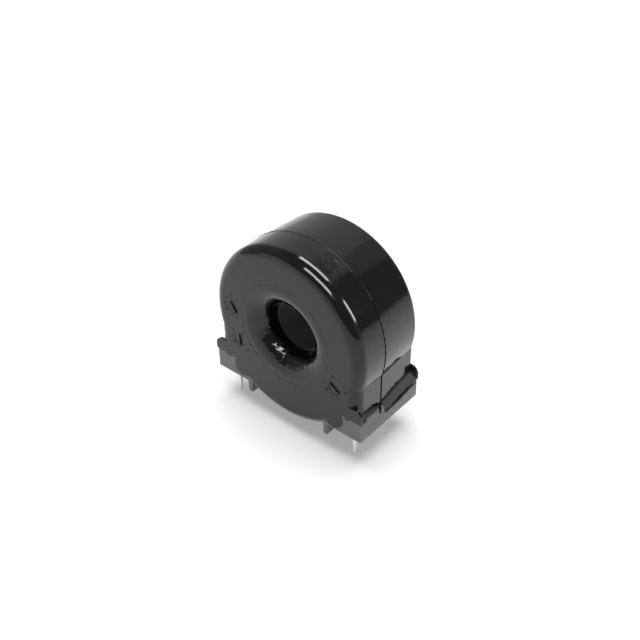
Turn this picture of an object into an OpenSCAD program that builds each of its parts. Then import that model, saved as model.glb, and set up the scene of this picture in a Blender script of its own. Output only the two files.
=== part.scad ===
// Aperture current transformer for a circuit board. A black housing is moulded round a
// taped toroidal coil and onto a dark grey carrier. Two terminal pins stand in the carrier.
// X runs along the foot, Y from the front face to the back, Z up from the board.
// The origin is half way between the two pins, on the board's surface.

/* [Ring] */
// How much the ring's radius falls from the parting line to the front rim
front_draft = 0.05; // [0:0.01:0.15]
// How much the ring's radius falls from the parting line to the back rim
rear_draft = 0.35; // [0.2:0.05:0.5]
// Rounding of the front rim
front_round = 1.8; // [1.4:0.1:2]
// Rounding of the back rim
rear_round = 0.9; // [0.5:0.1:1.2]
// How far the neck's flanks stand inside the ring's radius
neck_inset = 0.6; // [0.5:0.05:0.8]
// How much each flank of the neck comes in towards the back
neck_draft = 0.2; // [0.1:0.05:0.3]

/* [Foot] */
// Depth of the carrier from front to back
foot_d = 14.1; // [13.6:0.1:16]
// How far the carrier reaches out past the neck at each end
foot_step = 0.75; // [0.7:0.05:1.2]
// Height of the cradle round the coil above the foot's underside
cradle_h = 4.15; // [4:0.05:4.4]
// How far the belly hangs below the foot's underside
belly_drop = 1.8; // [1.7:0.05:2.1]
// Gap between the belly and the board
belly_clear = 0.25; // [0.2:0.05:0.6]
// Thickness of the carrier outside the ring
belly_skin = 0.3; // [0.25:0.05:0.4]
// Width of the belly's lip, seen from the front
lip_w = 0.45; // [0.4:0.05:0.6]
// Depth of the rebate in the carrier that each black face fills
rebate_d = 1.3; // [1:0.1:1.3]
// Height of the fine line along the carrier's ends above the foot's underside
end_line_rise = 1.85; // [1.6:0.05:1.9]
// Width and depth of that fine line
end_line = 0.06; // [0.04:0.02:0.1]

/* [Pegs] */
// Distance of a peg's middle from the edge of the belly
peg_out = 0.75; // [0.4:0.05:1]
// Length of a peg along the foot
peg_w = 0.75; // [0.6:0.05:1]
// Depth of a peg from front to back
peg_d = 1.5; // [1:0.1:2]
// How far a peg runs up into the carrier
peg_root = 0.5; // [0.3:0.1:0.6]

/* [Terminal pins] */
// Distance of a pin's middle from the carrier's end
pin_inset = 2.5; // [2.3:0.1:2.7]
// Distance of the pin row behind the carrier's front
pin_setback = 2; // [1.8:0.1:3]
// Side of the square pin
pin_side = 0.5; // [0.4:0.05:0.64]
// Length of a pin below the board's surface
pin_reach = 3.4; // [2.5:0.1:4]
// Length of the pointed end of a pin
pin_point = 0.6; // [0.3:0.1:0.8]
// Height of a pin's upper end above the cradle
pin_stand = 1.4; // [1.4:0.05:1.5]

/* [Caps] */
// Height of the front ear of a cap above the foot's underside
front_ear_h = 5.95; // [5.8:0.05:6.2]
// Height of the back ear of a cap above the foot's underside
rear_ear_h = 5.65; // [5.5:0.05:5.9]
// Rounding of an ear's outer corner
ear_round = 1.4; // [1:0.1:1.5]
// Thickness of the front ears from front to back
front_ear_t = 0.4; // [0.3:0.05:0.8]
// Thickness of the back ears from front to back
rear_ear_t = 0.4; // [0.3:0.05:0.8]
// Height of a cap's ledge at the front ear
front_ledge_h = 4.5; // [4.4:0.05:4.8]
// Height of the ledge just before the parting line
seam_ledge_h = 3.5; // [3.5:0.05:3.8]
// Height of the ledge just behind the parting line
low_ledge_h = 3.25; // [3.2:0.05:3.4]
// Height of the ledge at the back ear
rear_ledge_h = 4.6; // [4.6:0.05:4.8]
// Rounding between the ledge and an ear
ledge_fillet = 1; // [0.6:0.1:1.2]
// Rounding of the ledge's outer edge before the parting line
front_roll = 1.5; // [1.2:0.1:1.6]
// Rounding of the ledge's outer edge behind the parting line
rear_roll = 1.5; // [1.2:0.1:1.6]
// How far the black faces stand proud of the carrier
face_proud = 0.1; // [0.05:0.01:0.15]
// How far the black caps stand proud of the carrier's ends
cap_proud = 0.2; // [0.1:0.05:0.3]

/* [Black edge on the carrier] */
// Height of the black edge on the front face above the foot's underside
face_edge_h = 3.6; // [3.4:0.05:3.7]
// Height of the black edge on an end at the front corner
end_front_h = 3.85; // [3.8:0.05:4]
// Height of that edge just before the parting line
end_seam_h = 3.35; // [3.2:0.05:3.4]
// Height of that edge just behind the parting line
end_low_h = 2.1; // [2:0.05:2.3]
// Height of that edge at the back corner
end_rear_h = 3.5; // [3.3:0.05:3.6]
// Distance of the lobes from the edge of the belly
lobe_out = 2.25; // [2:0.05:2.4]
// Height of the lobes above the foot's underside
lobe_rise = 2.2; // [2:0.05:2.3]
// Radius of the right lobe
right_lobe_r = 1.85; // [1.7:0.05:1.9]
// Radius of the left lobe
left_lobe_r = 1.6; // [1.4:0.05:1.8]
// Distance of the small tooth from the carrier's end
tooth_inset = 2.5; // [2.2:0.1:2.6]
// Radius of the small tooth
tooth_r = 0.45; // [0.3:0.05:0.5]

/* [Parting line] */
// Distance of the parting line behind the front face
seam_setback = 5.9; // [5:0.1:7]
// Width of the parting line on the ring
seam_w = 0.1; // [0.06:0.02:0.14]
// Depth of the parting line on the ring
seam_d = 0.12; // [0.06:0.02:0.16]
// Width and depth of the parting line down the neck
neck_seam_w = 0.2; // [0.1:0.05:0.3]
// Width and depth of the parting line across the caps
cap_seam_w = 0.3; // [0.2:0.05:0.4]
// Distance of the insert line on the front face outside the mouth
insert_out = 0.75; // [0.6:0.05:1.2]
// Width and depth of the insert line
insert_line = 0.08; // [0.04:0.02:0.12]

/* [Bore] */
// Radius of the bore for the primary conductor
bore_r = 4.2; // [4:0.05:4.4]
// Height of the small step in the bore
throat_step = 0.2; // [0.15:0.05:0.3]
// Length of the wider throat between the mouth's rounding and the step
throat_len = 0.35; // [0.3:0.05:0.6]
// How much the throat narrows on its way to the step
throat_draft = 0.05; // [0.02:0.01:0.1]
// Rounding of the front mouth
front_flare = 3.3; // [3:0.1:3.4]
// Rounding of the back mouth
rear_flare = 1.2; // [0.8:0.1:1.4]

/* [Coil] */
// Wall of the ring outside the taped coil
ring_wall = 1.45; // [1.4:0.05:1.8]
// Wall between the step and the taped coil
bore_wall = 1.2; // [1.15:0.05:1.4]
// Distance of the taped coil from the carrier's front and back
face_wall = 1.35; // [1.3:0.05:1.6]
// Rounding of the taped coil's edges
coil_round = 1.5; // [1.2:0.1:1.6]
// Thickness of the tape round the winding
tape_t = 0.15; // [0.1:0.01:0.2]
// Height of the winding on the outside of the core case
build_out = 0.85; // [0.6:0.05:1]
// Height of the winding on the ends of the core case
build_end = 1; // [0.8:0.05:1.1]
// Height of the winding in the hole of the core case
build_in = 1.35; // [1.1:0.05:1.5]
// Thickness of the core case and its lid
case_t = 0.6; // [0.5:0.05:0.7]
// Width of the core between its hole and its outside
core_w = 3.4; // [2.8:0.1:4]
// Gap between the core and the case walls
core_gap = 0.15; // [0.1:0.01:0.2]
// Thickness of the foam ring between the core and the lid
cushion_t = 0.7; // [0.5:0.05:0.9]

/* [Leads] */
// Diameter of a lead wire
lead_dia = 0.26; // [0.2:0.02:0.28]
// Radius of the lump at a bend of a lead as a share of the wire's radius
bend_share = 1.12; // [1.05:0.01:1.2]
// Turns of a lead round its pin
wrap_turns = 3; // [2:1:3]
// Rise of one turn as a share of the wire's diameter
wrap_pitch_share = 0.85; // [0.8:0.01:0.9]
// Height of the lowest turn above the cradle
wrap_stand = 0.45; // [0.4:0.05:0.45]
// Angle below level at which the leads leave the coil
exit_angle = 37; // [34:1:38]
// Distance of the leads' exit behind the pin row
exit_setback = 1.6; // [1.2:0.1:3]
// How far a lead runs out from the coil before it bends
exit_reach = 0.7; // [0.6:0.05:0.8]
// Radius of the solder cone at its foot
solder_r = 0.55; // [0.5:0.05:0.6]
// Radius of the solder cone at its top
solder_top_r = 0.4; // [0.38:0.01:0.42]
// Height of the solder cone
solder_h = 0.35; // [0.2:0.05:0.35]
// Gap left by the moulding round the turns and the solder
joint_gap = 0.03; // [0.02:0.01:0.06]

/* [Hidden] */
$fn = 96;
wire_fn = 32;
// How far a cut runs out past what it cuts
cut_over = 2;

// Bore
throat_r = bore_r + throat_step;
throat_mouth_r = throat_r + throat_draft;
mouth_r = throat_mouth_r + front_flare;
insert_r = mouth_r + insert_out;

// Radii of the coil, from its hole out to the ring
coil_in_r = throat_r + bore_wall;
case_in_r = coil_in_r + tape_t + build_in;
core_in_r = case_in_r + case_t + core_gap;
core_r = core_in_r + core_w;
case_r = core_r + core_gap + case_t;
wind_r = case_r + build_out;
coil_r = wind_r + tape_t;
ring_r = coil_r + ring_wall;

// Ring, neck and belly
front_r = ring_r - front_draft;
rear_r = ring_r - rear_draft;
neck_x = ring_r - neck_inset;
belly_r = ring_r + belly_skin;
lip_r = belly_r - lip_w;
axis_rise = belly_r - belly_drop;
belly_edge_x = sqrt(belly_r * belly_r - axis_rise * axis_rise);

// Foot and caps, with the heights above the board
end_x = neck_x + foot_step;
cap_x = end_x + cap_proud;
foot_z = belly_drop + belly_clear;
axis_z = foot_z + axis_rise;
neck_z = axis_z - sqrt(ring_r * ring_r - neck_x * neck_x);
cradle_z = foot_z + cradle_h;
front_ear_z = foot_z + front_ear_h;
rear_ear_z = foot_z + rear_ear_h;
face_edge_z = foot_z + face_edge_h;

// Depths, counted from the pin row
carrier_front = -pin_setback;
carrier_rear = carrier_front + foot_d;
face_front = carrier_front - face_proud;
face_rear = carrier_rear + face_proud;
mid_y = (carrier_front + carrier_rear) / 2;
seam_y = face_front + seam_setback;
coil_len = foot_d - 2 * face_wall;
case_len = coil_len - 2 * (tape_t + build_end);
core_front = mid_y - case_len / 2 + case_t + cushion_t;
core_rear = mid_y + case_len / 2 - case_t;

// Pegs, pins and the lobes of the black edge
peg_x = belly_edge_x + peg_out;
pin_x = end_x - pin_inset;
lobe_x = belly_edge_x + lobe_out;
tooth_x = end_x - tooth_inset;

// Leads
lead_r = lead_dia / 2;
wrap_r = pin_side / sqrt(2) + lead_r;
wrap_z = cradle_z + wrap_stand;
wrap_pitch = lead_dia * wrap_pitch_share;
wrap_top = wrap_z + (wrap_turns - 1) * wrap_pitch + lead_r;

// Turns a shape so that its Z lies along the bore, with the bore axis as its own
module about_bore() {
    translate([0, 0, axis_z]) rotate([-90, 0, 0]) children();
}

// Spins a section, drawn as radius and depth, about the bore
module spun() {
    about_bore() rotate_extrude() children();
}

// Extrudes an outline seen from the front between two depths
module across(from_y, to_y) {
    translate([0, to_y, 0]) rotate([90, 0, 0]) linear_extrude(to_y - from_y) children();
}

// Repeats a shape on the left and on the right
module both_ends() {
    for (side = [0, 1]) mirror([side, 0, 0]) children();
}

// Round wire from one point to the next, with a small lump at its far end
module wire(from, to) {
    run = to - from;
    translate(from)
        rotate([0, acos(run[2] / norm(run)), atan2(run[1], run[0])])
            cylinder(h = norm(run), r = lead_r, $fn = wire_fn);
    translate(to) sphere(r = lead_r * bend_share, $fn = wire_fn);
}

// Half outline from the middle to a drafted flank, with rounded front and back corners
module flank(front_reach, seam_reach, rear_reach) {
    front_c = [front_reach - front_round, face_front + front_round];
    rear_c = [rear_reach - rear_round, face_rear - rear_round];
    front_lean = atan2(seam_reach - front_reach, seam_y - front_c[1]);
    rear_lean = atan2(seam_reach - rear_reach, rear_c[1] - seam_y);
    polygon([
        [0, face_front], [front_c[0], face_front], front_c,
        front_c + front_round * [cos(front_lean), -sin(front_lean)],
        [seam_reach, seam_y],
        rear_c + rear_round * [cos(rear_lean), sin(rear_lean)],
        rear_c, [rear_c[0], face_rear], [0, face_rear]
    ]);
    translate(front_c) circle(r = front_round);
    translate(rear_c) circle(r = rear_round);
}

// Section of the bore with its throat, step and rounded mouths
module bore_section() {
    translate([0, face_front]) square([bore_r, face_rear - face_front]);
    translate([0, face_front]) polygon([
        [0, 0], [throat_mouth_r, 0], [throat_mouth_r, front_flare],
        [throat_r, front_flare + throat_len], [0, front_flare + throat_len]
    ]);
    difference() {
        translate([0, face_front]) square([mouth_r, front_flare]);
        translate([mouth_r, face_front + front_flare]) circle(r = front_flare);
    }
    difference() {
        translate([0, face_rear - rear_flare]) square([bore_r + rear_flare, rear_flare]);
        translate([bore_r + rear_flare, face_rear - rear_flare]) circle(r = rear_flare);
    }
}

// Section of a ring round the bore with rounded edges, centred on the coil
module ring_section(in_r, out_r, len, round) {
    translate([in_r, mid_y - len / 2 + round]) square([out_r - in_r, len - 2 * round]);
    translate([in_r + round, mid_y - len / 2]) square([out_r - in_r - 2 * round, len]);
    for (r = [in_r + round, out_r - round])
        for (y = [mid_y - len / 2 + round, mid_y + len / 2 - round])
            translate([r, y]) circle(r = round);
}

// Section inside the tape
module winding_section() {
    ring_section(coil_in_r + tape_t, wind_r, coil_len - 2 * tape_t, coil_round - tape_t);
}

// Outline of one ear from the front, with its rounded outer corner
module ear_outline(top_z) {
    translate([0, foot_z]) square([cap_x, top_z - ear_round - foot_z]);
    translate([0, foot_z]) square([cap_x - ear_round, top_z - foot_z]);
    translate([cap_x - ear_round, top_z - ear_round]) circle(r = ear_round);
}

// Disc inside the belly's lip, up to the top of the back ears
module lip_disc() {
    intersection() {
        translate([0, axis_z]) circle(r = lip_r);
        translate([-cap_x, 0]) square([2 * cap_x, rear_ear_z]);
    }
}

// What the black front face covers, with the lobes and teeth of its lower edge
module front_outline() {
    lip_disc();
    translate([-cap_x, face_edge_z]) square([2 * cap_x, end_front_h - face_edge_h]);
    translate([lobe_x, foot_z + lobe_rise]) circle(r = right_lobe_r);
    translate([-lobe_x, foot_z + lobe_rise]) circle(r = left_lobe_r);
    for (x = [-tooth_x, tooth_x]) translate([x, face_edge_z]) circle(r = tooth_r);
}

// Extrudes an outline seen from the right end, drawn as depth and height, along the foot
module along(from_x, to_x) {
    translate([from_x, 0, 0]) rotate([90, 0, 90]) linear_extrude(to_x - from_x) children();
}

// The carrier's end from the side between two depths, up to the edge of the black moulding
module end_outline(from_y, to_y) {
    polygon([
        [from_y, foot_z], [from_y, foot_z + end_front_h],
        [seam_y, foot_z + end_seam_h], [seam_y, foot_z + end_low_h],
        [to_y, foot_z + end_rear_h], [to_y, foot_z]
    ]);
}

// Side view of one half of a ledge, from the parting line out to the ear. The fillet touches
// the ear's inner side and the sloping ledge.
module ledge_outline(seam_h, ear_ledge_h, ear_y, face_y) {
    way = sign(ear_y - seam_y);
    slope = atan2(ear_ledge_h - seam_h, abs(ear_y - seam_y));
    c = [ear_y - way * ledge_fillet,
         foot_z + ear_ledge_h - ledge_fillet * tan(slope) + ledge_fillet / cos(slope)];
    touch = c + ledge_fillet * [way * sin(slope), -cos(slope)];
    difference() {
        polygon([
            [seam_y, foot_z], [seam_y, foot_z + seam_h], touch, [ear_y, c[1]],
            [face_y, c[1]], [face_y, foot_z]
        ]);
        translate(c) circle(r = ledge_fillet);
    }
}

// Round outer edge of one half of a ledge
module ledge_roll(seam_h, ear_ledge_h, ear_y, roll) {
    slope = atan2(ear_ledge_h - seam_h, ear_y - seam_y);
    intersection() {
        translate([cap_x - roll, seam_y, foot_z + seam_h - roll / abs(cos(slope))])
            rotate([slope - 90, 0, 0])
                cylinder(h = 2 * foot_d, r = roll, center = true);
        along(0, cap_x) polygon([
            [seam_y, foot_z], [seam_y, axis_z], [ear_y, axis_z], [ear_y, foot_z]
        ]);
    }
}

// One half of the right cap: the ledge, its round edge and the skirt down to the carrier
module half_cap(seam_h, ear_ledge_h, ear_y, face_y, roll) {
    drop = roll / cos(atan2(ear_ledge_h - seam_h, abs(ear_y - seam_y)));
    along(0, cap_x - roll) ledge_outline(seam_h, ear_ledge_h, ear_y, face_y);
    ledge_roll(seam_h, ear_ledge_h, ear_y, roll);
    along(0, cap_x) polygon([
        [seam_y, foot_z], [seam_y, foot_z + seam_h - drop],
        [ear_y, foot_z + ear_ledge_h - drop], [ear_y, foot_z]
    ]);
}

// Right half of the neck with the black cap over the carrier's end, between its two ears
module neck_and_cap() {
    front_ear_y = face_front + front_ear_t;
    rear_ear_y = face_rear - rear_ear_t;
    difference() {
        union() {
            translate([0, 0, foot_z])
                linear_extrude(axis_z - foot_z) flank(neck_x, neck_x, neck_x - neck_draft);
            half_cap(seam_ledge_h, front_ledge_h, front_ear_y, face_front, front_roll);
            half_cap(low_ledge_h, rear_ledge_h, rear_ear_y, face_rear, rear_roll);
            across(face_front, front_ear_y) ear_outline(front_ear_z);
            across(rear_ear_y, face_rear) ear_outline(rear_ear_z);
        }
        along(0, cap_x + cut_over) end_outline(face_front, face_rear);
    }
}

// Fine groove of the parting line round the ring, down the neck and across the caps
module seam_groove() {
    spun() translate([ring_r - seam_d, seam_y]) square([seam_d + cut_over, seam_w]);
    both_ends() {
        translate([neck_x - neck_seam_w, seam_y, foot_z])
            cube([neck_seam_w + cut_over, neck_seam_w, neck_z - foot_z]);
        translate([neck_x, seam_y, foot_z])
            cube([cap_x + cut_over - neck_x, cap_seam_w, front_ear_h]);
    }
}

// Fine line round the bore on the front face
module insert_groove() {
    spun() translate([insert_r, face_front]) square(insert_line);
}

// Black moulding: ring, neck and caps in one piece, closed round the coil and its leads
module housing() {
    color("#232325")
        difference() {
            union() {
                spun() flank(front_r, ring_r, rear_r);
                both_ends() neck_and_cap();
                across(face_front, carrier_front + rebate_d) front_outline();
                across(carrier_rear - rebate_d, face_rear) lip_disc();
            }
            spun() bore_section();
            seam_groove();
            insert_groove();
            carrier_form();
            spun() ring_section(coil_in_r, coil_r, coil_len, coil_round);
            both_ends() {
                pin_form();
                lead_path();
                joint_space();
            }
        }
}

// Dark grey carrier before the pins are pressed in: corner blocks, belly and four pegs
module carrier_form() {
    difference() {
        union() {
            both_ends() {
                along(0, end_x) end_outline(carrier_front, carrier_rear);
                for (y = [carrier_front, carrier_rear - peg_d])
                    translate([peg_x - peg_w / 2, y, 0]) cube([peg_w, peg_d, foot_z + peg_root]);
            }
            intersection() {
                across(carrier_front, carrier_rear) translate([0, axis_z]) circle(r = belly_r);
                translate([-end_x, carrier_front, 0]) cube([2 * end_x, foot_d, cradle_z]);
            }
        }
        about_bore() translate([0, 0, face_front])
            cylinder(h = face_rear - face_front, r = coil_r);
        across(face_front, carrier_front + rebate_d) front_outline();
        across(carrier_rear - rebate_d, face_rear) lip_disc();
        both_ends()
            translate([end_x - end_line, carrier_front - cut_over, foot_z + end_line_rise])
                cube([end_line + cut_over, foot_d + 2 * cut_over, end_line]);
    }
}

module base_carrier() {
    color("#5b5c5e")
        difference() {
            carrier_form();
            both_ends() pin_form();
        }
}

// Outline of a pin with its pointed end, used from the front and from the side
module pin_outline() {
    low = -pin_reach;
    high = cradle_z + pin_stand;
    half = pin_side / 2;
    polygon([
        [0, low], [half, low + pin_point], [half, high], [-half, high], [-half, low + pin_point]
    ]);
}

// Square pin with a four-sided point, on the right
module pin_form() {
    translate([pin_x, 0, 0]) intersection() {
        across(-pin_side, pin_side) pin_outline();
        rotate([0, 0, 90]) across(-pin_side, pin_side) pin_outline();
    }
}

module right_pin() { color("#c9c9c6") pin_form(); }
module left_pin() { color("#c9c9c6") mirror([1, 0, 0]) pin_form(); }

// Straight stretches of the right lead: out of the winding and over to the pin
module lead_path() {
    out = [cos(exit_angle), 0, -sin(exit_angle)];
    exit = [0, exit_setback, axis_z];
    bend = exit + (coil_r + exit_reach) * out;
    wire(exit + case_r * out, bend);
    wire(bend, [pin_x - wrap_r + lead_r / 2, 0, wrap_z]);
}

// Right lead with its turns round the pin
module lead_form() {
    lead_path();
    for (turn = [0 : wrap_turns - 1])
        translate([pin_x, 0, wrap_z + turn * wrap_pitch])
            rotate_extrude() translate([wrap_r, 0]) circle(r = lead_r, $fn = wire_fn);
}

module right_lead() { color("#b5652e") difference() { lead_form(); coil_space(); } }
module left_lead() { color("#b5652e") mirror([1, 0, 0]) difference() { lead_form(); coil_space(); } }

// The solid that the winding fills, which a lead starts on
module coil_space() { spun() winding_section(); }

// Space in the moulding that the turns and the solder take up
module joint_space() {
    low = wrap_z - lead_r - joint_gap;
    translate([pin_x, 0, low])
        cylinder(h = wrap_top + solder_h + joint_gap - low, r = wrap_r + lead_r + joint_gap);
}

// Solder cone on the turns, round the upper end of the right pin
module solder_form() {
    difference() {
        translate([pin_x, 0, wrap_top]) cylinder(h = solder_h, r1 = solder_r, r2 = solder_top_r);
        pin_form();
    }
}

module right_solder() { color("#a9abad") solder_form(); }
module left_solder() { color("#a9abad") mirror([1, 0, 0]) solder_form(); }

// Insulating tape lapped all the way round the wound core
module coil_tape() {
    color("#d9c24a")
        difference() {
            spun() difference() {
                ring_section(coil_in_r, coil_r, coil_len, coil_round);
                winding_section();
            }
            both_ends() lead_path();
        }
}

// Secondary winding of enamelled wire, as one solid ring round the core case
module winding() {
    color("#b5652e")
        spun() difference() {
            winding_section();
            translate([case_in_r, mid_y - case_len / 2]) square([case_r - case_in_r, case_len]);
        }
}

// Trough that holds the core, open at the front
module core_case() {
    front = mid_y - case_len / 2 + case_t;
    color("#d8d8d0")
        spun() difference() {
            translate([case_in_r, front]) square([case_r - case_in_r, case_len - case_t]);
            translate([case_in_r + case_t, front])
                square([case_r - case_in_r - 2 * case_t, core_rear - front]);
        }
}

// Flat ring that closes the trough
module core_case_lid() {
    color("#d8d8d0")
        spun() translate([case_in_r, mid_y - case_len / 2]) square([case_r - case_in_r, case_t]);
}

// Foam ring that keeps the case from pressing on the core
module core_cushion() {
    color("#8f8f8f")
        spun() translate([case_in_r + case_t, core_front - cushion_t])
            square([case_r - case_in_r - 2 * case_t, cushion_t]);
}

// Toroidal core, wound from thin soft magnetic strip
module core() {
    color("#7d8085")
        spun() translate([core_in_r, core_front]) square([core_w, core_rear - core_front]);
}

housing();
base_carrier();
left_pin();
right_pin();
left_lead();
right_lead();
left_solder();
right_solder();
coil_tape();
winding();
core_case();
core_case_lid();
core_cushion();
core();
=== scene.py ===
import math

import bpy
import numpy as np
from mathutils import Matrix, Vector


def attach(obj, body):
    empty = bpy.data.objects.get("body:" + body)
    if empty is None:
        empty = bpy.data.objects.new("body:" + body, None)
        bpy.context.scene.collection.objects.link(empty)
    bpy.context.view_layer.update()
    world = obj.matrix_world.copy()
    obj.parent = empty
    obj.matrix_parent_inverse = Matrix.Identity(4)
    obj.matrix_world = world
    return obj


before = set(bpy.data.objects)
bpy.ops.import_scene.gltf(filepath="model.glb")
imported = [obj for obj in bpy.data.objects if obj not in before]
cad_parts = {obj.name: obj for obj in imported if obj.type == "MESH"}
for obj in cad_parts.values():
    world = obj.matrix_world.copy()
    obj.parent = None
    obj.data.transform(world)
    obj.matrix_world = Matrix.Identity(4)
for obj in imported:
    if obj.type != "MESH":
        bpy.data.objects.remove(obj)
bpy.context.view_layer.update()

# Camera. The photo looks at the part from the front right, a little under 37 degrees above
# the table, with the lens turned by less than a degree.
CAMERA_AZIMUTH = math.radians(40.549)
CAMERA_ELEVATION = math.radians(36.85)
CAMERA_ROLL = math.radians(-0.840)
CAMERA_DISTANCE = 0.1467
CAMERA_LENS_MM = 53.66
CAMERA_SENSOR_MM = 36.0
CAMERA_CLIP = (0.005, 10.0)
CAMERA_AIM = Vector((0.0, 0.00505, 0.0131))
CAMERA_SLIDE = (0.000786, 0.000661)


def camera_axes(azimuth, elevation, roll):
    """Right, up and back of a camera that looks down by the elevation from the azimuth."""
    back = Vector((math.sin(azimuth) * math.cos(elevation),
                   -math.cos(azimuth) * math.cos(elevation), math.sin(elevation)))
    level = Vector((math.cos(azimuth), math.sin(azimuth), 0.0))
    above = back.cross(level)
    right = level * math.cos(roll) + above * math.sin(roll)
    up = above * math.cos(roll) - level * math.sin(roll)
    return right, up, back


def placed(right, up, back, spot):
    """Matrix that turns an object to three directions and puts it at a spot."""
    return Matrix((
        (right.x, up.x, back.x, spot.x),
        (right.y, up.y, back.y, spot.y),
        (right.z, up.z, back.z, spot.z),
        (0.0, 0.0, 0.0, 1.0),
    ))


right, up, back = camera_axes(CAMERA_AZIMUTH, CAMERA_ELEVATION, CAMERA_ROLL)
spot = CAMERA_AIM + right * CAMERA_SLIDE[0] + up * CAMERA_SLIDE[1] + back * CAMERA_DISTANCE
lens = bpy.data.cameras.new("product_camera")
lens.lens = CAMERA_LENS_MM
lens.sensor_width = CAMERA_SENSOR_MM
lens.clip_start, lens.clip_end = CAMERA_CLIP
camera = bpy.data.objects.new("product_camera", lens)
camera.matrix_world = placed(right, up, back, spot)
bpy.context.scene.collection.objects.link(camera)
bpy.context.scene.camera = camera
bpy.context.scene.view_settings.view_transform = "Standard"

# Table. A seamless white sheet under the pins, which the part's soft shadow falls on. The
# camera and the reflections see it a little brighter than the lamps alone make it.
TABLE_Z = -0.0034
TABLE_HALF = 1.2
TABLE_WHITE = (0.86, 0.86, 0.86, 1.0)
TABLE_LIFT = 0.28


def new_material(name):
    """An empty node material with its tree, its output node and nothing else."""
    material = bpy.data.materials.new(name)
    material.use_nodes = True
    tree = material.node_tree
    tree.nodes.clear()
    return material, tree, tree.nodes.new("ShaderNodeOutputMaterial")


def link(tree, start, end):
    """Joins an output socket to an input socket."""
    tree.links.new(start, end)


def feed(tree, value, socket):
    """Joins an output socket to an input socket, or writes a number or colour on it."""
    if isinstance(value, bpy.types.NodeSocket):
        link(tree, value, socket)
    else:
        socket.default_value = value


def worked(tree, operation, *values):
    """Result of a plain operation on sockets and numbers."""
    node = tree.nodes.new("ShaderNodeMath")
    node.operation = operation
    for socket, value in zip(node.inputs, values):
        feed(tree, value, socket)
    return node.outputs[0]


def seen_or_mirrored(tree):
    """1 on rays from the camera, in reflections and through glass, 0 on other bounces."""
    path = tree.nodes.new("ShaderNodeLightPath").outputs
    seen = worked(tree, "MAXIMUM", path["Is Camera Ray"], path["Is Glossy Ray"])
    return worked(tree, "MAXIMUM", seen, path["Is Transmission Ray"])


def table_material():
    """White paper, with part of its brightness given to the rays that see it."""
    material, tree, output = new_material("white_table")
    paper = tree.nodes.new("ShaderNodeBsdfDiffuse")
    paper.inputs["Color"].default_value = TABLE_WHITE
    glow = tree.nodes.new("ShaderNodeEmission")
    mix = tree.nodes.new("ShaderNodeMixShader")
    link(tree, worked(tree, "MULTIPLY", seen_or_mirrored(tree), TABLE_LIFT), mix.inputs["Fac"])
    link(tree, paper.outputs[0], mix.inputs[1])
    link(tree, glow.outputs[0], mix.inputs[2])
    link(tree, mix.outputs[0], output.inputs["Surface"])
    return material


table_mesh = bpy.data.meshes.new("table")
table_mesh.from_pydata([(-TABLE_HALF, -TABLE_HALF, TABLE_Z), (TABLE_HALF, -TABLE_HALF, TABLE_Z),
                        (TABLE_HALF, TABLE_HALF, TABLE_Z), (-TABLE_HALF, TABLE_HALF, TABLE_Z)],
                       [], [(0, 1, 2, 3)])
table = bpy.data.objects.new("table", table_mesh)
table_mesh.materials.append(table_material())
bpy.context.scene.collection.objects.link(table)

# Studio. A dim room with one soft lamp that lights the part and the table. The strips and
# walls round it are only mirrored in the gloss, as the bright shapes on the rim and the ring.
# The camera sees the room itself as plain white.
ROOM_STRENGTH = 0.22
ROOM_COLOUR = (1.0, 1.0, 1.0, 1.0)
PART_MIDDLE = Vector((0.0, 0.005, 0.015))
KEY_AZIMUTH, KEY_ELEVATION, KEY_REACH = -140, 86, 0.6
KEY_SIZE, KEY_BRIGHTNESS = 0.50, 7.6
LEVEL, UPRIGHT, DOWN = (1, 0, 0), (0, 0, 1), (0, 0, -1)

world = bpy.data.worlds.new("studio")
world.use_nodes = True
bpy.context.scene.world = world
room = world.node_tree
room.nodes.clear()
room_out = room.nodes.new("ShaderNodeOutputWorld")
room_light = room.nodes.new("ShaderNodeBackground")
room_light.inputs["Color"].default_value = ROOM_COLOUR
room_light.inputs["Strength"].default_value = ROOM_STRENGTH
room_seen = room.nodes.new("ShaderNodeBackground")
room_seen.inputs["Color"].default_value = ROOM_COLOUR
room_mix = room.nodes.new("ShaderNodeMixShader")
room_path = room.nodes.new("ShaderNodeLightPath")
link(room, room_path.outputs["Is Camera Ray"], room_mix.inputs["Fac"])
link(room, room_light.outputs[0], room_mix.inputs[1])
link(room, room_seen.outputs[0], room_mix.inputs[2])
link(room, room_mix.outputs[0], room_out.inputs["Surface"])


def panel(name, place, facing, along, length, width, brightness):
    """Rectangular lamp at a place seen from the part, with its length along a direction.

    It shines against its facing, and its energy is its brightness times pi times its area.
    """
    lamp = bpy.data.lights.new(name, "AREA")
    lamp.shape = "RECTANGLE"
    lamp.size = length
    lamp.size_y = width
    lamp.energy = brightness * math.pi * length * width
    rig = bpy.data.objects.new(name, lamp)
    back = Vector(facing).normalized()
    side = Vector(along)
    side = (side - back * side.dot(back)).normalized()
    rig.matrix_world = placed(side, back.cross(side), back, PART_MIDDLE + Vector(place))
    rig.visible_camera = False
    bpy.context.scene.collection.objects.link(rig)
    return rig


def heading(azimuth, elevation, reach):
    """Place at a reach from the part, azimuth 0 in front of it and 90 to its right."""
    a, e = math.radians(azimuth), math.radians(elevation)
    return Vector((math.sin(a) * math.cos(e), -math.cos(a) * math.cos(e), math.sin(e))) * reach


key = panel("key_lamp", heading(KEY_AZIMUTH, KEY_ELEVATION, KEY_REACH),
            heading(KEY_AZIMUTH, KEY_ELEVATION, 1.0), LEVEL, KEY_SIZE, KEY_SIZE, KEY_BRIGHTNESS)
key.visible_glossy = False

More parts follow.
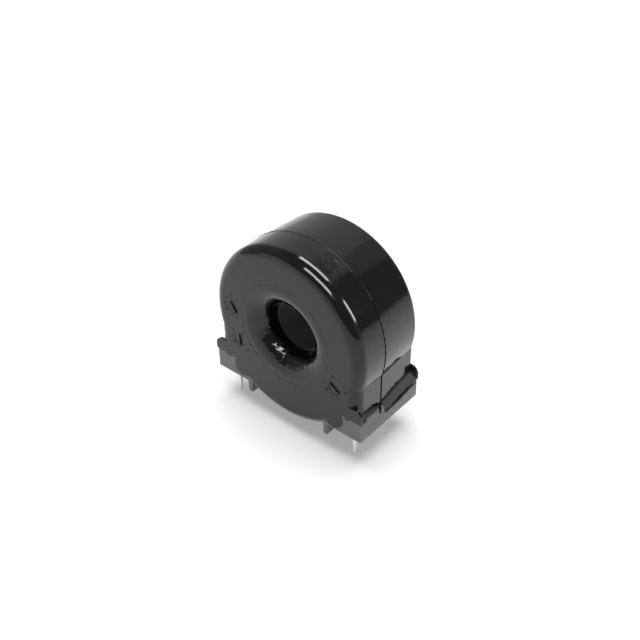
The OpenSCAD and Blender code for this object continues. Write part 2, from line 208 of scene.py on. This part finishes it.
# brightness, place, facing, along, length and width of what only the gloss shows
MIRRORED = {
    "back_strip": (13.0, (0.0, 0.236, 0.5), (0.0, 0.236, 0.5), (1, 0.1, 0), 0.40, 0.18),
    "front_strip": (13.0, (0.11, -0.33, 0.5), (0.11, -0.33, 0.5), (1, -0.15, 0), 0.42, 0.17),
    "side_strip": (15.0, heading(117, 28, 0.6), heading(117, 0, 1.0), UPRIGHT, 0.28, 0.11),
    "side_wall": (0.30, heading(106, 20, 0.7), heading(106, 0, 1.0), UPRIGHT, 0.55, 0.36),
    "back_wall": (0.50, heading(-148, 32, 0.7), heading(-148, 0, 1.0), UPRIGHT, 0.80, 0.78),
    "back_wall_end": (0.25, heading(166, 30, 0.7), heading(166, 0, 1.0), UPRIGHT, 0.75, 0.30),
    "left_wall": (0.14, heading(-75, 32, 0.6), heading(-75, 0, 1.0), UPRIGHT, 0.70, 0.85),
    "front_wall": (0.75, heading(-22, 5, 0.6), heading(-22, 0, 1.0), UPRIGHT, 0.18, 0.70),
    "near_floor": (0.20, (0.040, 0.038, -0.0179), DOWN, LEVEL, 0.050, 0.070),
    "far_floor": (0.06, (0.063, 0.060, -0.0177), DOWN, LEVEL, 0.10, 0.11),
}
for name, (brightness, place, facing, along, length, width) in MIRRORED.items():
    mirrored = panel(name, place, facing, along, length, width, brightness)
    mirrored.visible_diffuse = False

# Housing. The black moulding that is closed round the coil: ring, neck and caps in one piece.
# It leaves a polished tool, so it is glossy, with orange peel, a slight waviness over the coil
# and a ripple where it sank low in the mouth. The bore's wall and the caps' ledges are duller.
BLACK = (0.0036, 0.0036, 0.0039, 1.0)
# painted light: a lighter black on the bore's wall for the light that falls through the bore, and
# on the caps' ledges for the floor's sheen on their rolls
BORE_PAINTED_LIGHT = (0.056, 0.056, 0.057, 1.0)
CAP_PAINTED_LIGHT = (0.016, 0.016, 0.0165, 1.0)
BLACK_IOR = 1.45
BLACK_ROUGHNESS = (0.07, 0.13)
BORE_DULLER, CAP_DULLER = 0.40, 0.45
BORE_SKIN = 0.1  # share of the peel and the waves that the bore's wall keeps
BLACK_CLOUDS = (260.0, 3.0)  # scale and detail
PEEL = (3800.0, 2.0, 0.004)  # scale, detail and height in millimetres
WAVES = (800.0, 1.0, 0.016)
RIPPLE = (1500.0, 1.0, 0.12)
MM = 0.001
RISING, FALLING = (0.0, 1.0), (1.0, 0.0)
NOISE_MIDDLE = (0.3, 0.7)
AXIS_Z = 0.015
# where each region of the moulding fades, from its first to its last metre
MOUTH_REACH = (0.0062, 0.0068)
MOUTH_DEPTH = (0.0002, 0.0009)
MOUTH_TOP = (0.0145, 0.0165)
WALL_REACH = (0.00425, 0.00430)
WALL_DEPTH = (0.00150, 0.00156)
LEDGE_OUT = (0.0130, 0.0132)
LEDGE_TOP = (0.00562, 0.00572)
LEDGE_FRONT = (-0.00172, -0.00166)
CREASE_Y, CREASE_RISE = 0.0038, 0.168


def new_shader(name):
    """A material of one shader: material, tree, shader and the piece's own coordinates."""
    material, tree, output = new_material(name)
    shader = tree.nodes.new("ShaderNodeBsdfPrincipled")
    link(tree, shader.outputs[0], output.inputs["Surface"])
    return material, tree, shader, tree.nodes.new("ShaderNodeTexCoord").outputs["Object"]


def noise(tree, place, scale, detail):
    """Noise over the given coordinates, from 0 to 1."""
    texture = tree.nodes.new("ShaderNodeTexNoise")
    texture.inputs["Scale"].default_value = scale
    texture.inputs["Detail"].default_value = detail
    link(tree, place, texture.inputs["Vector"])
    return texture.outputs["Fac"]


def ramp(tree, value, span, results):
    """Straight change from the first to the second result over the span, level outside it."""
    spread = tree.nodes.new("ShaderNodeMapRange")
    spread.inputs["From Min"].default_value = span[0]
    spread.inputs["From Max"].default_value = span[1]
    spread.inputs["To Min"].default_value = results[0]
    spread.inputs["To Max"].default_value = results[1]
    link(tree, value, spread.inputs["Value"])
    return spread.outputs["Result"]


def mixed(tree, share, first, second):
    """Colour that turns from the first to the second as the share goes from 0 to 1."""
    mix = tree.nodes.new("ShaderNodeMix")
    mix.data_type = "RGBA"
    feed(tree, first, mix.inputs["A"])
    feed(tree, second, mix.inputs["B"])
    link(tree, share, mix.inputs["Factor"])
    return mix.outputs["Result"]


def bumped(tree, height, strength, distance):
    """Normal of a surface that stands out by its height times the distance."""
    bump = tree.nodes.new("ShaderNodeBump")
    bump.inputs["Strength"].default_value = strength
    bump.inputs["Distance"].default_value = distance
    link(tree, height, bump.inputs["Height"])
    return bump.outputs["Normal"]


def coordinates(tree, place):
    """X, Y and Z of the coordinates, each as a socket of its own."""
    parts = tree.nodes.new("ShaderNodeSeparateXYZ")
    link(tree, place, parts.inputs[0])
    return parts.outputs["X"], parts.outputs["Y"], parts.outputs["Z"]


def product(tree, *values):
    """Sockets multiplied with each other."""
    result = values[0]
    for value in values[1:]:
        result = worked(tree, "MULTIPLY", result, value)
    return result


def about_bore(tree, place):
    """Angle round the bore's axis, and distance from it: the root of the sum of two squares."""
    side, _, height = coordinates(tree, place)
    above = worked(tree, "SUBTRACT", height, AXIS_Z)
    squares = worked(tree, "ADD", product(tree, side, side), product(tree, above, above))
    return worked(tree, "ARCTAN2", above, side), worked(tree, "SQRT", squares)


def bore_shares(tree, place):
    """Two shares: 1 in the lower half of the front mouth, and 1 on the bore's wall.

    Both go by the distance from the axis and the depth, and the first by the height too.
    """
    _, depth, height = coordinates(tree, place)
    reach = about_bore(tree, place)[1]
    mouth = product(tree, ramp(tree, reach, MOUTH_REACH, FALLING),
                    ramp(tree, depth, MOUTH_DEPTH, FALLING), ramp(tree, height, MOUTH_TOP, FALLING))
    wall = product(tree, ramp(tree, reach, WALL_REACH, FALLING),
                   ramp(tree, depth, WALL_DEPTH, RISING))
    return mouth, wall


def cap_share(tree, place):
    """1 on the rolled ledges of the caps: outside the neck, behind the front ears, below a crease.

    The crease rises from the parting plane both ways, by a fixed share of the distance from it.
    """
    side, depth, height = coordinates(tree, place)
    apart = worked(tree, "ABSOLUTE", worked(tree, "SUBTRACT", depth, CREASE_Y))
    level = worked(tree, "SUBTRACT", height, worked(tree, "MULTIPLY", apart, CREASE_RISE))
    return product(tree, ramp(tree, worked(tree, "ABSOLUTE", side), LEDGE_OUT, RISING),
                   ramp(tree, level, LEDGE_TOP, FALLING), ramp(tree, depth, LEDGE_FRONT, RISING))


def black_moulding():
    """Near black glossy plastic, duller on the bore's wall and on the caps' ledges, which also get
    a lighter colour as painted light.

    The bump's height, in millimetres, is the orange peel and the waves, which the bore's wall
    hardly has, plus the ripple in the mouth.
    """
    material, tree, shader, place = new_shader("black_moulding")
    shader.inputs["IOR"].default_value = BLACK_IOR
    mouth, wall = bore_shares(tree, place)
    caps = cap_share(tree, place)
    # painted light: the bore's wall and the caps' ledges get the lighter colours
    colour = mixed(tree, caps, mixed(tree, wall, BLACK, BORE_PAINTED_LIGHT), CAP_PAINTED_LIGHT)
    link(tree, colour, shader.inputs["Base Color"])
    gloss = ramp(tree, noise(tree, place, *BLACK_CLOUDS), NOISE_MIDDLE, BLACK_ROUGHNESS)
    dull = worked(tree, "ADD", worked(tree, "MULTIPLY", wall, BORE_DULLER),
                  worked(tree, "MULTIPLY", caps, CAP_DULLER))
    link(tree, worked(tree, "ADD", gloss, dull), shader.inputs["Roughness"])
    peel, waves, ripple = (worked(tree, "MULTIPLY", noise(tree, place, scale, detail), height)
                           for scale, detail, height in (PEEL, WAVES, RIPPLE))
    kept = ramp(tree, wall, RISING, (1.0, BORE_SKIN))
    skin = product(tree, worked(tree, "ADD", peel, waves), kept)
    height = worked(tree, "ADD", skin, product(tree, ripple, mouth))
    link(tree, bumped(tree, height, 1.0, MM), shader.inputs["Normal"])
    return material


def dress(node, material):
    """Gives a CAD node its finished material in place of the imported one."""
    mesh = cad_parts[node].data
    mesh.materials.clear()
    mesh.materials.append(material)


black = black_moulding()
dress("housing", black)

# Flash of the black moulding. A thin fin stands along the ring where the halves of the mould
# met, and a finer one round the insert that formed the mouth. Both are part of the moulding.
# Sizes and places here, and in the next two sections, are in millimetres.
AXIS_MM = 15.0
FIN_RADIUS, FIN_DEPTH, FIN_SIZE = 14.45, 3.85, 0.080
FIN_START, FIN_END, FIN_STEPS = 34.0, 158.0, 420
FIN_MEAN = 0.75
FIN_SWELLS = ((0.15, 61.0, 0.0), (0.12, 143.0, 1.0))  # share, waves in a full turn, shift
FIN_TIP, FIN_TAPER = 0.1, 12.0
MOUTH_FIN_RADIUS, MOUTH_FIN_DEPTH, MOUTH_FIN_SIZE, MOUTH_FIN_STEPS = 8.54, -2.10, 0.045, 360
MOUTH_FIN_MEAN, MOUTH_FIN_SWELL, MOUTH_FIN_WAVES = 0.8, 0.2, (3.0, 17.0)
BEAD_SIDES = 8


def full_turn(sides):
    """Angles of a full turn in equal steps, as one row."""
    return np.linspace(0.0, 2.0 * math.pi, sides, endpoint=False)[None, :]


def closed_surfaces(name, grids, ring):
    """One mesh of several grids of points in millimetres, each closed round its columns.

    The rows close round too when ring is set, or else each end is shut by a fan of triangles
    about its middle. A shell whose faces point inwards gets their corners in reverse order.
    """
    points, faces, start = [], [], 0
    for grid in grids:
        rows, columns = grid.shape[:2]
        spots = grid.reshape(-1, 3)
        index = np.arange(rows * columns).reshape(rows, columns)
        lower, upper = (index, np.roll(index, -1, axis=0)) if ring else (index[:-1], index[1:])
        quads = np.stack([lower, np.roll(lower, -1, axis=1), np.roll(upper, -1, axis=1), upper],
                         axis=-1).reshape(-1, 4)
        fans = np.empty((0, 3), dtype=int)
        if not ring:
            first, last = np.full(columns, len(spots)), np.full(columns, len(spots) + 1)
            spots = np.vstack([spots, grid[0].mean(axis=0), grid[-1].mean(axis=0)])
            fans = np.vstack([np.stack([np.roll(index[0], -1), index[0], first], axis=-1),
                              np.stack([index[-1], np.roll(index[-1], -1), last], axis=-1)])
        a, b, c = spots[np.vstack([quads[:, :3], fans]).T]
        if np.einsum("ij,ij->i", a - spots.mean(axis=0), np.cross(b - a, c - a)).sum() < 0.0:
            quads, fans = quads[:, ::-1], fans[:, ::-1]
        points.append(spots)
        faces += (quads + start).tolist() + (fans + start).tolist()
        start += len(spots)
    mesh = bpy.data.meshes.new(name)
    mesh.from_pydata((np.vstack(points) * MM).tolist(), [], faces)
    mesh.polygons.foreach_set("use_smooth", np.ones(len(faces), dtype=bool))
    piece = bpy.data.objects.new(name, mesh)
    bpy.context.scene.collection.objects.link(piece)
    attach(piece, "root")
    return piece


def finish_piece(piece, material):
    """Gives a new piece its material."""
    piece.data.materials.append(material)


def rounded_fin(radius, depth, size, angles, thickness):
    """Round bead on a circle about the bore: its radius is size times thickness at each angle."""
    turn = full_turn(BEAD_SIDES)
    bead = (size * thickness)[:, None]
    reach = radius + bead * np.cos(turn)
    return np.stack([reach * np.cos(angles)[:, None], depth + bead * np.sin(turn),
                     AXIS_MM + reach * np.sin(angles)[:, None]], axis=-1)


fin_angles = np.radians(np.linspace(FIN_START, FIN_END, FIN_STEPS))
fin_thickness = FIN_MEAN + sum(share * np.sin(fin_angles * waves + shift)
                               for share, waves, shift in FIN_SWELLS)
from_tip = np.minimum(fin_angles - fin_angles[0], fin_angles[-1] - fin_angles)
fin_thickness *= np.minimum(1.0, FIN_TIP + FIN_TAPER * from_tip)
parting_fin = closed_surfaces(
    "parting_fin", [rounded_fin(FIN_RADIUS, FIN_DEPTH, FIN_SIZE, fin_angles, fin_thickness)],
    False)
finish_piece(parting_fin, black)

mouth_angles = full_turn(MOUTH_FIN_STEPS)[0]
mouth_thickness = MOUTH_FIN_MEAN + MOUTH_FIN_SWELL * (
    np.sin(mouth_angles * MOUTH_FIN_WAVES[0]) * np.sin(mouth_angles * MOUTH_FIN_WAVES[1]))
mouth_fin = closed_surfaces(
    "mouth_fin", [rounded_fin(MOUTH_FIN_RADIUS, MOUTH_FIN_DEPTH, MOUTH_FIN_SIZE,
                              mouth_angles, mouth_thickness)], True)
finish_piece(mouth_fin, black)

# Painted shade. Where the rear half of each cap stops on the carrier, and down the parting line of
# ring, neck and cap, the moulding leaves narrow gaps in shade. These ragged strips are that shade,
# painted matt and almost black.
EDGE_DEPTHS = (3.9, 5.6, 7.5, 9.5, 11.6)
EDGE_LOWER = (4.12, 4.30, 4.42, 4.75, 4.98)
EDGE_UPPER = (4.24, 4.54, 5.02, 5.34, 5.20)
EDGE_OUT, EDGE_STEPS = 14.80, 180
EDGE_LOWER_RAG, EDGE_UPPER_RAG = 0.06, 0.13
SPLIT_OUT = (13.80, 13.95, 14.23, 14.62, 14.68, 14.66)
SPLIT_DEPTH = (3.75, 3.52, 3.10, 2.80, 2.72, 2.66)
SPLIT_HEIGHT = (5.85, 5.76, 5.58, 5.52, 5.22, 4.85)
SPLIT_HALF, SPLIT_MEAN, SPLIT_RAG, SPLIT_STEPS = 0.25, 0.85, 0.25, 70
SPLIT_LIFT_OUT, SPLIT_LIFT_UP = 0.064, 0.048
GAP_START, GAP_JOIN, GAP_DEPTH, GAP_HALF = 36.0, -16.6, 3.80, (0.10, 0.20)
GAP_MEAN, GAP_RAG, GAP_SHAKE = 0.85, 0.35, 0.03
GAP_RING_STEPS, GAP_NECK_STEPS = 150, 60
NECK_OUT, NECK_JOIN_HEIGHT, NECK_GAP_LOW = 13.85, 10.87, 5.80
STRIP_LIFT, STRIP_SIDES = 0.045, 12
RAG_WAVES = ((0.5, 5.3), (0.3, 12.1), (0.2, 23.7))  # share, and radians a millimetre
# painted shade: near black colours of the dark strips in the gaps
SHADE_BLACK, SHADE_LIGHTER = (0.002, 0.002, 0.002, 1.0), (0.010, 0.010, 0.010, 1.0)
SHADE_IOR, SHADE_ROUGHNESS = 1.12, (0.7, 0.95)
SHADE_MOTTLE, SHADE_MOTTLE_HEIGHT = (6000.0, 3.0), 0.00003


def ragged(along, seed):
    """Uneven value between -1 and 1 along a length: three sines, shifted by the seed, added up."""
    return sum(share * np.sin(along * waves + (order + 1.0) * seed)
               for order, (share, waves) in enumerate(RAG_WAVES))


def cap_edge_shade(side):
    """Flat ellipse in section on the cap's side, between two ragged lines: painted shade of the gap
    where the cap's rear half stops on the carrier.
    """
    depth = np.linspace(EDGE_DEPTHS[0], EDGE_DEPTHS[-1], EDGE_STEPS)
    low = np.interp(depth, EDGE_DEPTHS, EDGE_LOWER) + EDGE_LOWER_RAG * ragged(depth, 0.4)
    high = np.interp(depth, EDGE_DEPTHS, EDGE_UPPER) + EDGE_UPPER_RAG * ragged(depth, 1.7)
    turn = full_turn(STRIP_SIDES)
    z = (0.5 * (low + high))[:, None] + (0.5 * (high - low))[:, None] * np.sin(turn)
    x = np.repeat(EDGE_OUT + STRIP_LIFT * np.cos(turn), EDGE_STEPS, axis=0)
    return np.stack([side * x, np.repeat(depth[:, None], STRIP_SIDES, axis=1), z], axis=-1)


def split_strip(side):
    """Flat ellipse in section, carried over the rolled ledge and down the cap's side.

    It follows the stations beside the parting line, and its half width is uneven.
    """
    station = np.linspace(0.0, len(SPLIT_OUT) - 1.0, SPLIT_STEPS)
    out, depth, height = (np.interp(station, np.arange(len(SPLIT_OUT)), values)[:, None]
                          for values in (SPLIT_OUT, SPLIT_DEPTH, SPLIT_HEIGHT))
    turn = full_turn(STRIP_SIDES)
    half = SPLIT_HALF * (SPLIT_MEAN + SPLIT_RAG * ragged(station, 0.9))[:, None]
    return np.stack([side * (out + SPLIT_LIFT_OUT * np.sin(turn)), depth + half * np.cos(turn),
                     height + SPLIT_LIFT_UP * np.sin(turn)], axis=-1)


def parting_gap(side):
    """Flat ellipse in section, carried down the ring's parting line and straight down the neck.

    Its half width grows from the first value to the second on the way down, and is uneven.
    """
    angles = np.radians(np.linspace(GAP_START, GAP_JOIN, GAP_RING_STEPS))
    drop = np.linspace(NECK_JOIN_HEIGHT, NECK_GAP_LOW, GAP_NECK_STEPS)[1:]
    out = np.concatenate([FIN_RADIUS * np.cos(angles), np.full_like(drop, NECK_OUT)])[:, None]
    height = np.concatenate([AXIS_MM + FIN_RADIUS * np.sin(angles), drop])[:, None]
    face_x = np.concatenate([np.cos(angles), np.ones_like(drop)])[:, None]
    face_z = np.concatenate([np.sin(angles), np.zeros_like(drop)])[:, None]
    turn = full_turn(STRIP_SIDES)
    share = np.linspace(0.0, 1.0, len(height))[:, None]
    half = GAP_HALF[0] + (GAP_HALF[1] - GAP_HALF[0]) * share
    half = half * (GAP_MEAN + GAP_RAG * ragged(height, 0.7))
    depth = GAP_DEPTH + GAP_SHAKE * ragged(height, 1.3) + half * np.cos(turn)
    lift = STRIP_LIFT * np.sin(turn)
    return np.stack([side * (out + face_x * lift), depth, height + face_z * lift], axis=-1)


def painted_shade_black():
    """Painted shade: matt, mottled near black that hardly mirrors anything."""
    material, tree, shader, place = new_shader("painted_shade_black")
    shader.inputs["IOR"].default_value = SHADE_IOR
    mottle = noise(tree, place, *SHADE_MOTTLE)
    link(tree, mixed(tree, mottle, SHADE_BLACK, SHADE_LIGHTER), shader.inputs["Base Color"])
    link(tree, ramp(tree, mottle, NOISE_MIDDLE, SHADE_ROUGHNESS), shader.inputs["Roughness"])
    link(tree, bumped(tree, mottle, 1.0, SHADE_MOTTLE_HEIGHT), shader.inputs["Normal"])
    return material


shade_finish = painted_shade_black()
# painted shade: dark strips in the gaps along the caps' edges and the parting line
strips = [make(side) for make in (cap_edge_shade, split_strip, parting_gap) for side in (1.0, -1.0)]
painted_shade_edges = closed_surfaces("painted_shade_edges", strips, False)
finish_piece(painted_shade_edges, shade_finish)

# Dials. Three round mould marks on the front face, each a narrow slot with a raised rim, an
# arc and plain ticks round it, and four specks. The mould left them in the black moulding's skin.
# The slots' shade is painted: they are dark pods in the near black matt finish of the gaps.
FACE_DEPTH = -2.10
FACE_INNER, FACE_OUTER = 9.1, 12.9
# middle of each dial on the face, and the direction of its slot
DIALS = (((-10.14, 15.76), (0.53, -0.85)), ((-9.16, 9.83), (0.09, -0.996)),
         ((9.83, 10.35), (0.81, -0.59)))
SLOT_LENGTH, SLOT_WIDTH, SLOT_HEIGHT = 2.25, 0.50, 0.05
RIM_GAP, RIM_WIDTH, RIM_HEIGHT, RIM_STEPS = 0.06, 0.18, 0.07, 96
TICK_REACH, TICK_LENGTH, TICK_WIDTH, TICK_HEIGHT = 1.90, 0.58, 0.20, 0.10
TICK_TURNS = (0.0, 0.55, 1.25, 1.85, 2.5, 3.14, 3.7, 4.35, 4.95, 5.6)
TICK_ACROSS = 3.0
TICK_ALIGNED = 0.97  # cosine past which a ray counts as in line with the slot
ARC_REACH, ARC_SIZE, ARC_OFFSET, ARC_TURN, ARC_STEPS = 1.25, 0.08, 0.5, 2.0, 60
SPECKS = ((-8.11, 8.45, 0.13), (-7.10, 9.82, 0.13), (2.57, 6.72, 0.12), (8.03, 8.79, 0.12))
SPECK_LENGTH, SPECK_WIDTH, SPECK_HEIGHT = 2.2, 2.0, 0.8  # over the radius
POD_STEPS, POD_TIP, POD_LEAST = 22, 0.06, 0.0004


def on_face(middle, course, along, across, rise):
    """Points on the front face: along the course, across it and out of the face, from a middle."""
    return np.stack([middle[0] + course[0] * along - course[1] * across, FACE_DEPTH - rise,
                     middle[1] + course[1] * along + course[0] * across], axis=-1)


def pod(middle, course, length, width, height):
    """Flat capsule on the face: a stadium seen from the front, an ellipse in section.

    Its rows lie by the cosine along its length, and shrink as a half circle does at both ends.
    """
    along = -0.5 * length * np.cos(np.linspace(POD_TIP, math.pi - POD_TIP, POD_STEPS))[:, None]
    over = np.maximum(np.abs(along) - 0.5 * (length - width), 0.0) / (0.5 * width)
    share = np.sqrt(np.maximum(1.0 - over ** 2, POD_LEAST))
    turn = full_turn(STRIP_SIDES)
    return on_face(middle, course, along, 0.5 * width * share * np.cos(turn),
                   height * share * np.sin(turn))


def slot_rim(middle, course):
    """Low bead round a slot, on a stadium a little wider: two half circles set apart."""
    turn = full_turn(RIM_STEPS).T
    bead = full_turn(BEAD_SIDES)
    reach = 0.5 * SLOT_WIDTH + RIM_GAP + 0.5 * RIM_WIDTH * np.cos(bead)
    apart = 0.5 * (SLOT_LENGTH - SLOT_WIDTH) * np.sign(np.cos(turn))
    rise = RIM_HEIGHT * np.sin(bead) * np.ones_like(turn)
    return on_face(middle, course, apart + reach * np.cos(turn), reach * np.sin(turn), rise)


def dial_arc(middle, course):
    """Round bead on part of a circle about the dial, on the side that its slot leaves free."""
    start = math.atan2(course[1], course[0]) - ARC_OFFSET
    turn = np.linspace(start - ARC_TURN, start, ARC_STEPS)[:, None]
    bead = full_turn(BEAD_SIDES)
    reach = ARC_REACH + ARC_SIZE * np.cos(bead)
    rise = ARC_SIZE * np.sin(bead) * np.ones_like(turn)
    return on_face(middle, (1.0, 0.0), reach * np.cos(turn), reach * np.sin(turn), rise)


def dial_tick(middle, course, turn):
    """Tick at a turn round the dial, or None where it leaves the flat face or meets the slot.

    Up to a turn of three radians it lies along its ray, and past that square to it.
    """
    ray = (math.cos(turn), math.sin(turn))
    spot = (middle[0] + TICK_REACH * ray[0], middle[1] + TICK_REACH * ray[1])
    on_flat = FACE_INNER < math.hypot(spot[0], spot[1] - AXIS_MM) < FACE_OUTER
    if not on_flat or abs(ray[0] * course[0] + ray[1] * course[1]) >= TICK_ALIGNED:
        return None
    return pod(spot, (ray[1], -ray[0]) if turn > TICK_ACROSS else ray, TICK_LENGTH, TICK_WIDTH,
               TICK_HEIGHT)


slots, ticks, rims = [], [], []
for middle, course in DIALS:
    slots.append(pod(middle, course, SLOT_LENGTH, SLOT_WIDTH, SLOT_HEIGHT))
    rims.append(slot_rim(middle, course))
    ticks.append(dial_arc(middle, course))
    ticks += [tick for turn in TICK_TURNS if (tick := dial_tick(middle, course, turn)) is not None]
dots = [pod((x, z), (1.0, 0.0), SPECK_LENGTH * radius, SPECK_WIDTH * radius, SPECK_HEIGHT * radius)
        for x, z, radius in SPECKS]
# painted shade: the slots are dark, matt pods
dial_slots = closed_surfaces("dial_slots", slots, False)
finish_piece(dial_slots, shade_finish)
dial_ticks = closed_surfaces("dial_ticks", ticks, False)
finish_piece(dial_ticks, black)
dial_rims = closed_surfaces("dial_rims", rims, True)
finish_piece(dial_rims, black)
specks = closed_surfaces("specks", dots, False)
finish_piece(specks, black)

# Carrier. Dark grey moulding under the ring that holds the coil and the pins. It is moulded
# first, with a matt, finely grained surface, and the black moulding is closed over it.
GREY = (0.148, 0.149, 0.152, 1.0)
GREY_DARK = (0.105, 0.106, 0.109, 1.0)
GREY_ROUGHNESS = 0.5
GREY_CLOUDS = (420.0, 4.0)
GRAIN, GRAIN_STRENGTH, GRAIN_HEIGHT = (5200.0, 2.0), 0.5, 0.00002


def grey_moulding():
    """Dark grey matt plastic: cloudy colour, a fine grain as bump."""
    material, tree, shader, place = new_shader("grey_moulding")
    shader.inputs["Roughness"].default_value = GREY_ROUGHNESS
    clouds = noise(tree, place, *GREY_CLOUDS)
    link(tree, mixed(tree, clouds, GREY_DARK, GREY), shader.inputs["Base Color"])
    grain = noise(tree, place, *GRAIN)
    link(tree, bumped(tree, grain, GRAIN_STRENGTH, GRAIN_HEIGHT), shader.inputs["Normal"])
    return material


dress("base_carrier", grey_moulding())

# Pins. Square wire of copper alloy, tin plated and cut to a point. The pins are pressed into
# the carrier, and the coil's leads are wrapped and soldered round them above it.
TIN = (0.80, 0.80, 0.78, 1.0)
TIN_ROUGHNESS = (0.22, 0.42)
MARKS, MARK_STRETCH = (9000.0, 2.0), (1.0, 1.0, 0.08)
MARK_STRENGTH, MARK_HEIGHT = 0.3, 0.00001


def tinned_pin():
    """Tin plate: metal with drawing marks along the pin and slightly uneven gloss."""
    material, tree, shader, place = new_shader("tinned_pin")
    shader.inputs["Base Color"].default_value = TIN
    shader.inputs["Metallic"].default_value = 1.0
    stretch = tree.nodes.new("ShaderNodeMapping")
    stretch.inputs["Scale"].default_value = MARK_STRETCH
    link(tree, place, stretch.inputs["Vector"])
    marks = noise(tree, stretch.outputs[0], *MARKS)
    link(tree, ramp(tree, marks, RISING, TIN_ROUGHNESS), shader.inputs["Roughness"])
    link(tree, bumped(tree, marks, MARK_STRENGTH, MARK_HEIGHT), shader.inputs["Normal"])
    return material


pin_finish = tinned_pin()
for node in ("left_pin", "right_pin"):
    dress(node, pin_finish)

# Coil. Hidden inside the moulding: the core of thin strip in its padded case, the winding of
# enamelled wire, its tape, and the two leads that are soldered round the pins.
COIL_BUMP = 0.6
WIRE_TURNS, TAPE_LAPS, STRIP_LAYERS = 330.0, 24.0, 90000.0
CASE_CLOUDS, FOAM_CELLS, SOLDER_CLOUDS = (700.0, 3.0), (5200.0, 4.0), (2600.0, 3.0)


def waved(tree, value, factor):
    """Half the sine of the value times the factor, plus a half, so from 0 to 1."""
    wave = worked(tree, "SINE", worked(tree, "MULTIPLY", value, factor))
    return ramp(tree, wave, (-1.0, 1.0), RISING)


def wire_turns(tree, place):
    """Turns of wire side by side round the ring: a wave of the angle."""
    return waved(tree, about_bore(tree, place)[0], WIRE_TURNS)


def tape_laps(tree, place):
    """Lapped turns of tape round the ring: a slow wave of the angle."""
    return waved(tree, about_bore(tree, place)[0], TAPE_LAPS)


def strip_layers(tree, place):
    """Layers of strip wound on each other: a wave of the distance from the axis."""
    return waved(tree, about_bore(tree, place)[1], STRIP_LAYERS)


def clouds_of(scale, detail):
    """Function that makes plain noise of a scale and detail."""
    return lambda tree, place: noise(tree, place, scale, detail)


def patterned(name, pattern, dark, light, metallic, roughness, depth):
    """Material whose colour, gloss and bump follow one pattern, from its dark to its light."""
    material, tree, shader, place = new_shader(name)
    shader.inputs["Metallic"].default_value = metallic
    value = pattern(tree, place)
    link(tree, mixed(tree, value, dark, light), shader.inputs["Base Color"])
    link(tree, ramp(tree, value, RISING, roughness), shader.inputs["Roughness"])
    link(tree, bumped(tree, value, COIL_BUMP, depth), shader.inputs["Normal"])
    return material


# pattern, dark and light colour, metallic, roughness of dark and light, bump in metres, nodes
COIL_FINISHES = {
    "enamelled_wire": (wire_turns, (0.20, 0.065, 0.02, 1.0), (0.62, 0.27, 0.11, 1.0),
                       0.8, (0.50, 0.22), 0.00006, ("winding", "left_lead", "right_lead")),
    "film_tape": (tape_laps, (0.55, 0.40, 0.06, 1.0), (0.78, 0.63, 0.16, 1.0),
                  0.0, (0.45, 0.25), 0.00004, ("coil_tape",)),
    "core_strip": (strip_layers, (0.26, 0.27, 0.29, 1.0), (0.50, 0.51, 0.53, 1.0),
                   1.0, (0.50, 0.25), 0.00002, ("core",)),
    "core_case": (clouds_of(*CASE_CLOUDS), (0.66, 0.66, 0.60, 1.0), (0.80, 0.80, 0.74, 1.0),
                  0.0, (0.55, 0.35), 0.00001, ("core_case", "core_case_lid")),
    "foam": (clouds_of(*FOAM_CELLS), (0.18, 0.18, 0.18, 1.0), (0.42, 0.42, 0.41, 1.0),
             0.0, (0.98, 0.85), 0.00010, ("core_cushion",)),
    "solder": (clouds_of(*SOLDER_CLOUDS), (0.50, 0.51, 0.53, 1.0), (0.72, 0.73, 0.74, 1.0),
               1.0, (0.42, 0.18), 0.00003, ("left_solder", "right_solder")),
}
for name, (*finish, nodes) in COIL_FINISHES.items():
    material = patterned(name, *finish)
    for node in nodes:
        dress(node, material)
